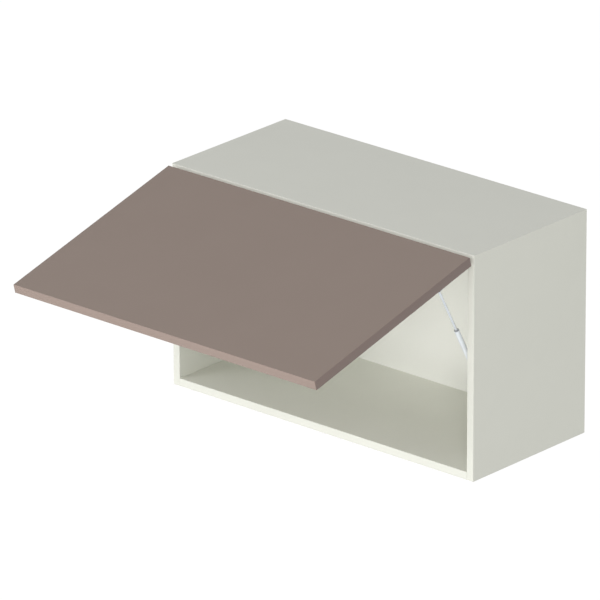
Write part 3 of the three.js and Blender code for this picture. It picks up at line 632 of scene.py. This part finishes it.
def standing_tail(length):
    """A collar that stands on the side bracket."""
    collar = length - 2
    return [(NECK_RADIUS, collar), (COLLAR_RADIUS, collar), (COLLAR_RADIUS, length), (0, length)]


def riveted_tail(length):
    """A collar on one side of the door bracket's lug, and a riveted head on the other."""
    head = length - 1
    collar_start, collar_end = head - 4.6, head - 2.6
    return [
        (NECK_RADIUS, collar_start), (COLLAR_RADIUS, collar_start),
        (COLLAR_RADIUS, collar_end), (NECK_RADIUS, collar_end),
        (NECK_RADIUS, head), (3.7, head), (3.1, length), (0, length),
    ]


for side_name, side in SIDES:
    stud(f"side_ball_stud_{side_name}", strut_place(side_name), side, standing_tail)
    stud(f"door_ball_stud_{side_name}", open_door, side, riveted_tail)
print("ball studs", 2 * len(SIDES))

# %% Bumpers
RIM_SHARE = 0.25
to_back = Matrix.Rotation(-math.pi / 2, 4, "X")
for side_name, side in SIDES:
    node = f"door_bumper_{side_name}"
    low, high = drawn_box(node, open_door)
    radius, height = (high.x - low.x) / 2, high.y - low.y
    # A short straight rim, then a quarter turn of dome.
    rim, dome_height = height * RIM_SHARE, height * (1 - RIM_SHARE)
    climb = [math.pi / 20 * i for i in range(10)]
    dome = [(radius * math.cos(t), rim + dome_height * math.sin(t)) for t in climb]
    foot = Matrix.Translation(Vector(((low.x + high.x) / 2, low.y, (low.z + high.z) / 2)) * MM)
    shape = spun([(0, 0), (radius, 0), *dome, (0, height)], sides=32)
    finish_piece(f"bumper_{side_name}", shape, node, place=open_door @ foot @ to_back)
print("bumper, mm", round(2 * radius, 1), "x", round(height, 1))

# %% [markdown]
# ## Pressed and moulded parts
# Brackets, hinges and hangers are blanked from steel strip and folded, and the strut's end fittings
# are moulded. None has a sharp edge. The CAD solid has the right outline already, so a copy of it
# is cleaned and its hard edges are rounded by a fraction of a millimetre.


# %% Soften the edges of a copy
def softened(node, radius_mm, least_turn=30):
    """A copy of a CAD solid, with each edge that turns sharply rounded."""
    shape = bmesh.new()
    shape.from_mesh(frame["nodes"][node].data)
    bmesh.ops.remove_doubles(shape, verts=shape.verts, dist=TINY)
    flat = math.radians(0.5)
    bmesh.ops.dissolve_limit(shape, angle_limit=flat, verts=shape.verts, edges=shape.edges)
    turn = math.radians(least_turn)
    hard = [edge for edge in shape.edges if edge.is_manifold and edge.calc_face_angle() > turn]
    bmesh.ops.bevel(
        shape, geom=hard, offset=radius_mm * MM, segments=2, profile=0.5,
        affect="EDGES", clamp_overlap=True,
    )
    return shape


# Start of the node names, and the radius of the edges in millimetres.
PRESSED = (
    ("hinge_plate", 0.35), ("hinge_arm", 0.25), ("hinge_inner_link", 0.2), ("hinge_outer_link", 0.2),
    ("hinge_cup", 0.25), ("side_bracket", 0.3), ("door_bracket", 0.3), ("hanger_housing", 0.8),
    ("hanger_hook", 0.3), ("hanger_screw", 0.15), ("lower_socket", 0.4), ("upper_socket", 0.4),
)
for side_name, side in SIDES:
    for start, radius_mm in PRESSED:
        node = f"{start}_{side_name}"
        finish_piece(f"{start}_eased_{side_name}", softened(node, radius_mm), node, sharp=50)
print("softened", len(PRESSED) * len(SIDES))

# %% [markdown]
# ## Screws
# Every plate and bracket is held by cross-recess screws. They are all alike, so one screw is built
# and set at each place by Geometry Nodes: the places are loose points that carry the way each head
# faces, and each screw is spun by a different amount, as a fitter leaves them.


# %% Start a node tree with named sizes, and grow a mesh with it
def start_tree(name, sizes):
    """An empty Geometry Nodes tree with one named input for each size, in metres."""
    tree = bpy.data.node_groups.new(name, "GeometryNodeTree")
    tree.interface.new_socket("Geometry", in_out="INPUT", socket_type="NodeSocketGeometry")
    for label, value in sizes.items():
        socket = tree.interface.new_socket(label, in_out="INPUT", socket_type="NodeSocketFloat")
        socket.default_value = value
    tree.interface.new_socket("Geometry", in_out="OUTPUT", socket_type="NodeSocketGeometry")
    return tree, tree.nodes.new("NodeGroupInput").outputs


def end_tree(tree, instances, material):
    """Instances become real mesh, take their finish, and leave the tree."""
    real = add(tree, "GeometryNodeRealizeInstances", {"Geometry": instances})
    painted = add(tree, "GeometryNodeSetMaterial", {"Geometry": real.outputs[0], "Material": material})
    sink = tree.nodes.new("NodeGroupOutput")
    tree.links.new(painted.outputs[0], sink.inputs[0])


def places_mesh(name, places):
    """Loose points in metres, each with the way that it faces."""
    mesh = bpy.data.meshes.new(name)
    mesh.from_pydata([Vector(point) * MM for point, _ in places], [], [])
    facing = mesh.attributes.new("facing", "FLOAT_VECTOR", "POINT")
    facing.data.foreach_set("vector", [value for _, way in places for value in way])
    return mesh


def grown(tree, source_mesh, sizes):
    """Runs a tree on a source mesh and returns the result, cleaned of the modifier."""
    source = bpy.data.objects.new("source", source_mesh)
    bpy.context.scene.collection.objects.link(source)
    modifier = source.modifiers.new("grow", "NODES")
    modifier.node_group = tree
    keys = {item.name: item.identifier for item in tree.interface.items_tree if item.in_out == "INPUT"}
    for label, value in sizes.items():
        modifier[keys[label]] = value * MM
    graph = bpy.context.evaluated_depsgraph_get()
    shape = bmesh.new()
    result = bpy.data.meshes.new_from_object(source.evaluated_get(graph))
    shape.from_mesh(result)
    bpy.data.meshes.remove(result)
    bpy.data.objects.remove(source)
    return shape


print("tools for growing ready")


# %% One screw, set at every point
def screw_tree(material, seed):
    defaults = {"Head Radius": 0.0034, "Head Rise": 0.0014, "Shank Radius": 0.0015, "Shank Length": 0.012}
    tree, size = start_tree("cross_recess_screws", defaults)
    radius, rise = size["Head Radius"], size["Head Rise"]
    squash = add(tree, "ShaderNodeMath", {0: rise, 1: radius}, operation="DIVIDE")
    flat = add(tree, "ShaderNodeCombineXYZ", {"X": 1.0, "Y": 1.0, "Z": squash.outputs[0]})
    ball = add(tree, "GeometryNodeMeshUVSphere", {"Segments": 24, "Rings": 12, "Radius": radius})
    head = add(tree, "GeometryNodeTransform", {"Geometry": ball.outputs[0], "Scale": flat.outputs[0]})

    down = add(tree, "ShaderNodeMath", {0: size["Shank Length"], 1: -0.5}, operation="MULTIPLY")
    drop = add(tree, "ShaderNodeCombineXYZ", {"Z": down.outputs[0]})
    rod = add(
        tree, "GeometryNodeMeshCylinder",
        {"Vertices": 12, "Radius": size["Shank Radius"], "Depth": size["Shank Length"]},
    )
    shank = add(tree, "GeometryNodeTransform", {"Geometry": rod.outputs[0], "Translation": drop.outputs[0]})
    whole = add(tree, "GeometryNodeMeshBoolean", operation="UNION")
    for part in (head, shank):
        tree.links.new(part.outputs[0], whole.inputs["Mesh"])

    # The recess is two crossed slots, as long as the head's radius and a quarter as wide.
    long_side = add(tree, "ShaderNodeMath", {0: radius, 1: 1.15}, operation="MULTIPLY")
    short_side = add(tree, "ShaderNodeMath", {0: radius, 1: 0.26}, operation="MULTIPLY")
    lift = add(tree, "ShaderNodeCombineXYZ", {"Z": rise})
    cut = add(tree, "GeometryNodeMeshBoolean", operation="DIFFERENCE")
    tree.links.new(whole.outputs[0], cut.inputs["Mesh 1"])
    for x, y in ((long_side, short_side), (short_side, long_side)):
        extent = add(tree, "ShaderNodeCombineXYZ", {"X": x.outputs[0], "Y": y.outputs[0], "Z": rise})
        slot = add(tree, "GeometryNodeMeshCube", {"Size": extent.outputs[0]})
        raised = add(
            tree, "GeometryNodeTransform",
            {"Geometry": slot.outputs[0], "Translation": lift.outputs[0]},
        )
        tree.links.new(raised.outputs[0], cut.inputs["Mesh 2"])

    way = add(tree, "GeometryNodeInputNamedAttribute", {"Name": "facing"}, data_type="FLOAT_VECTOR")
    aligned = add(tree, "FunctionNodeAlignRotationToVector", {"Vector": way.outputs[0]}, axis="Z")
    spin = add(
        tree, "FunctionNodeRandomValue",
        {"Max": (0, 0, math.pi), "Seed": seed}, data_type="FLOAT_VECTOR",
    )
    own = add(tree, "FunctionNodeEulerToRotation", {"Euler": spin.outputs[0]})
    turned = add(
        tree, "FunctionNodeRotateRotation",
        {"Rotation": aligned.outputs[0], "Rotate By": own.outputs[0]}, rotation_space="LOCAL",
    )
    set_out = add(
        tree, "GeometryNodeInstanceOnPoints",
        {"Points": size["Geometry"], "Instance": cut.outputs[0], "Rotation": turned.outputs[0]},
    )
    end_tree(tree, set_out.outputs[0], material)
    return tree


screws = screw_tree(nickel, seed=7)
print("nodes in the screw tree", len(screws.nodes))

# %% Where the screws go
# Places are read from the boxes of the plates that they hold.
PLATE_SCREW_REACH = 16
FLANGE_SCREW_REACH = 22.5
BRACKET_SCREW_REACH = 15
DOOR_BRACKET_SCREW_REACHES = (5.2, 16.9)
ADJUSTER_REACHES = (14, 52)
WING_THICKNESS = 2.2
BRACKET_STEEL = 1.6
carcass_screws, door_screws, adjusters = [], [], []
for side_name, side in SIDES:
    low, high = drawn_box(f"hinge_plate_{side_name}")
    middle, wing_low = (low + high) / 2, high.z - WING_THICKNESS
    for end in (-1, 1):
        carcass_screws.append(((middle.x + end * PLATE_SCREW_REACH, middle.y, wing_low), (0, 0, -1)))

    low, high = drawn_box(f"side_bracket_{side_name}")
    middle = (low + high) / 2
    face = low.x if side > 0 else high.x
    for end in (-1, 1):
        carcass_screws.append(((face, middle.y, middle.z + end * BRACKET_SCREW_REACH), (-side, 0, 0)))

    low, high = drawn_box(f"hinge_cup_{side_name}", open_door)
    middle = (low + high) / 2
    for end in (-1, 1):
        door_screws.append(((middle.x + end * FLANGE_SCREW_REACH, high.y, middle.z), (0, 1, 0)))

    low, high = drawn_box(f"door_bracket_{side_name}", open_door)
    inboard = low.x if side > 0 else high.x
    for reach in DOOR_BRACKET_SCREW_REACHES:
        spot = (inboard + side * reach, low.y + BRACKET_STEEL, (low.z + high.z) / 2)
        door_screws.append((spot, (0, 1, 0)))

    # The arm is deeper at its front, so its lower face is read from the 5 mm at its back.
    arm = f"hinge_arm_{side_name}"
    low, high = drawn_box(arm)
    corners = [vertex.co / MM for vertex in frame["nodes"][arm].data.vertices]
    lower_face = min(corner.z for corner in corners if corner.y > high.y - 5)
    for reach in ADJUSTER_REACHES:
        adjusters.append((((low.x + high.x) / 2, high.y - reach, lower_face), (0, 0, -1)))
print("screws", len(carcass_screws), len(door_screws), len(adjusters))

# %% Set the screws
WOOD_SCREW = {"Head Radius": 3.4, "Head Rise": 1.4, "Shank Radius": 1.5, "Shank Length": 12}
ADJUSTER = {"Head Radius": 2.9, "Head Rise": 1.1, "Shank Radius": 2, "Shank Length": 4}
SCREW_SETS = (
    ("carcass_screws", carcass_screws, WOOD_SCREW, Matrix(), "hinge_plate_left"),
    ("hinge_adjusters", adjusters, ADJUSTER, Matrix(), "hinge_plate_left"),
    ("door_screws", door_screws, WOOD_SCREW, open_door, "hinge_cup_left"),
)
for name, places, sizes, place, neighbour in SCREW_SETS:
    shape = grown(screws, places_mesh(name, places), sizes)
    piece = finish_piece(name, shape, neighbour, nickel, place=place, stands_for=False)
    print(name, len(piece.data.polygons), "faces")

# %% [markdown]
# ## Fluted dowels
# The corners are doweled and glued. A dowel has flutes that let air and glue out. They hide in the
# boards, but they are there when the cabinet is taken apart. A star outline swept along a short
# line gives one, and its eight places come from the CAD.


# %% Grow the dowels
def dowel_tree(material):
    tree, size = start_tree("fluted_dowels", {"Radius": 0.004, "Flute Depth": 0.0003, "Length": 0.034})
    inner = add(tree, "ShaderNodeMath", {0: size["Radius"], 1: size["Flute Depth"]}, operation="SUBTRACT")
    star = add(
        tree, "GeometryNodeCurveStar",
        {"Points": 20, "Inner Radius": inner.outputs[0], "Outer Radius": size["Radius"]},
    )
    half = add(tree, "ShaderNodeMath", {0: size["Length"], 1: 0.5}, operation="MULTIPLY")
    back = add(tree, "ShaderNodeMath", {0: size["Length"], 1: -0.5}, operation="MULTIPLY")
    ends = [add(tree, "ShaderNodeCombineXYZ", {"X": reach.outputs[0]}) for reach in (back, half)]
    line = add(
        tree, "GeometryNodeCurvePrimitiveLine",
        {"Start": ends[0].outputs[0], "End": ends[1].outputs[0]},
    )
    peg = add(
        tree, "GeometryNodeCurveToMesh",
        {"Curve": line.outputs[0], "Profile Curve": star.outputs[0], "Fill Caps": True},
    )
    set_out = add(
        tree, "GeometryNodeInstanceOnPoints", {"Points": size["Geometry"], "Instance": peg.outputs[0]},
    )
    end_tree(tree, set_out.outputs[0], material)
    return tree


dowel_nodes = [node for node in frame["nodes"] if node.startswith("dowel_")]
dowel_boxes = [drawn_box(node) for node in dowel_nodes]
low, high = dowel_boxes[0]
dowel_places = places_mesh("dowels", [((low + high) / 2, (1, 0, 0)) for low, high in dowel_boxes])
dowel_sizes = {"Radius": (high.y - low.y) / 2, "Flute Depth": 0.3, "Length": high.x - low.x}
shape = grown(dowel_tree(beech), dowel_places, dowel_sizes)
dowels = finish_piece("fluted_dowels", shape, dowel_nodes[0], stands_for=False)
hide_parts(*dowel_nodes)
print("dowels", len(dowel_nodes), "faces", len(dowels.data.polygons))

# %% [markdown]
# ## Stage, light and camera
# The cabinet hangs on a wall, so the floor is well below it. The floor and the world show white to
# the camera. Their white is just one and no more, because a stronger white eats into the edges of a
# pale object. The light is plain: a soft even surround, and broad lamps in front.


# %% Floor
def seen_as_white(tree):
    """One for rays that come from the camera, off a shiny face or through a clear one, else zero."""
    seen = add(tree, "ShaderNodeLightPath")
    direct = add(
        tree, "ShaderNodeMath",
        {0: seen.outputs["Is Camera Ray"], 1: seen.outputs["Is Glossy Ray"]}, operation="MAXIMUM",
    )
    shows = add(
        tree, "ShaderNodeMath",
        {0: direct.outputs[0], 1: seen.outputs["Is Transmission Ray"]}, operation="MAXIMUM",
    )
    return shows.outputs[0]


def pale_floor(white_share, glow_strength):
    """A pale matt floor. The camera sees a share of even white glow, and the rest is lit paint."""
    material = bpy.data.materials.new("pale_studio_floor")
    material.use_nodes = True
    tree = material.node_tree
    tree.nodes.clear()
    share = add(tree, "ShaderNodeMath", {0: seen_as_white(tree), 1: white_share}, operation="MULTIPLY")
    paint = add(tree, "ShaderNodeBsdfDiffuse", {"Color": linear("#F0F0EC")})
    glow = add(tree, "ShaderNodeEmission", {"Strength": glow_strength})
    both = add(
        tree, "ShaderNodeMixShader", {0: share.outputs[0], 1: paint.outputs[0], 2: glow.outputs[0]}
    )
    add(tree, "ShaderNodeOutputMaterial", {"Surface": both.outputs[0]})
    return material


FLOOR_DROP = 1.4
FLOOR_SIZE = 80
# The paint keeps a small share, so a shadow can still show. With that share of the glow, both
# together come to just over one in the whole frame.
WHITE_SHARE = 0.85
FLOOR_GLOW = 1.12
bpy.ops.mesh.primitive_plane_add(size=FLOOR_SIZE, location=(0, 0, -FLOOR_DROP))
floor = bpy.context.object
floor.name = "floor"
floor.data.materials.append(pale_floor(WHITE_SHARE, FLOOR_GLOW))
floor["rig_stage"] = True
print("floor at", -FLOOR_DROP, "m")

# %% World and lamps
SURROUND = 0.438
world = bpy.data.worlds.new("studio")
bpy.context.scene.world = world
world.use_nodes = True
sky = world.node_tree
sky.nodes.clear()
shows = seen_as_white(sky)
soft = add(sky, "ShaderNodeBackground", {"Color": (1, 1, 1, 1), "Strength": SURROUND})
white = add(sky, "ShaderNodeBackground", {"Color": (1, 1, 1, 1), "Strength": 1.0})
sky_mix = add(sky, "ShaderNodeMixShader", {0: shows, 1: soft.outputs[0], 2: white.outputs[0]})
add(sky, "ShaderNodeOutputWorld", {"Surface": sky_mix.outputs[0]})


def soft_lamp(name, place, aim, width, height, watts):
    """A broad lamp that the camera does not see. Places and sizes are in metres."""
    data = bpy.data.lights.new(name, "AREA")
    data.shape = "RECTANGLE"
    data.size, data.size_y = width, height
    data.energy = watts
    lamp = bpy.data.objects.new(name, data)
    lamp.location = place
    lamp.rotation_euler = (Vector(aim) - Vector(place)).to_track_quat("-Z", "Y").to_euler()
    lamp.visible_camera = False
    bpy.context.scene.collection.objects.link(lamp)
    return lamp


# Name, place, point aimed at, width, height, watts.
LAMPS = (
    ("front_lamp", (0, -6.3, 0.2), (0, 0, 0.2), 3.0, 3.0, 36),
    ("low_front_lamp", (0, -6, -0.9), (0, 0, 0.2), 4.0, 0.9, 28),
    ("high_right_lamp", (5.5, -6.7, 3.6), (0, -0.3, 0.25), 2.5, 2.5, 282),
    ("high_left_lamp", (-3.2, -5.6, 3.2), (0, -0.3, 0.1), 2.0, 0.6, 81),
    ("left_lamp", (-5, -4, 0.8), (0, 0, 0.2), 3.0, 2.5, 64),
)
for lamp in LAMPS:
    soft_lamp(*lamp)
bpy.context.scene.view_settings.view_transform = "Standard"
print("lamps", len(LAMPS))

# %% Camera
# The camera stands far off, front right and above, with a long lens.
camera_data = bpy.data.cameras.new("camera")
camera_data.sensor_width = 36
camera_data.lens = 524.38
camera_data.clip_end = 200
camera = bpy.data.objects.new("camera", camera_data)
CAMERA_PLACE = Vector((10.22337, -12.00753, 6.28951))
LOOKING = Vector((-0.61598, 0.69992, -0.36150))
ROLL = math.radians(0.117)
camera.matrix_world = (
    Matrix.Translation(CAMERA_PLACE)
    @ LOOKING.to_track_quat("-Z", "Y").to_matrix().to_4x4()
    @ Matrix.Rotation(-ROLL, 4, "Z")
)
bpy.context.scene.collection.objects.link(camera)
bpy.context.scene.camera = camera
print("camera at", [round(c, 2) for c in camera.location])

# %% Measure the boxes
bpy.context.view_layer.update()
sizes = {
    "cad_box_m": [list(corner) for corner in cad_box],
    "visual_box_m": [list(corner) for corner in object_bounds()],
}
print(sizes)
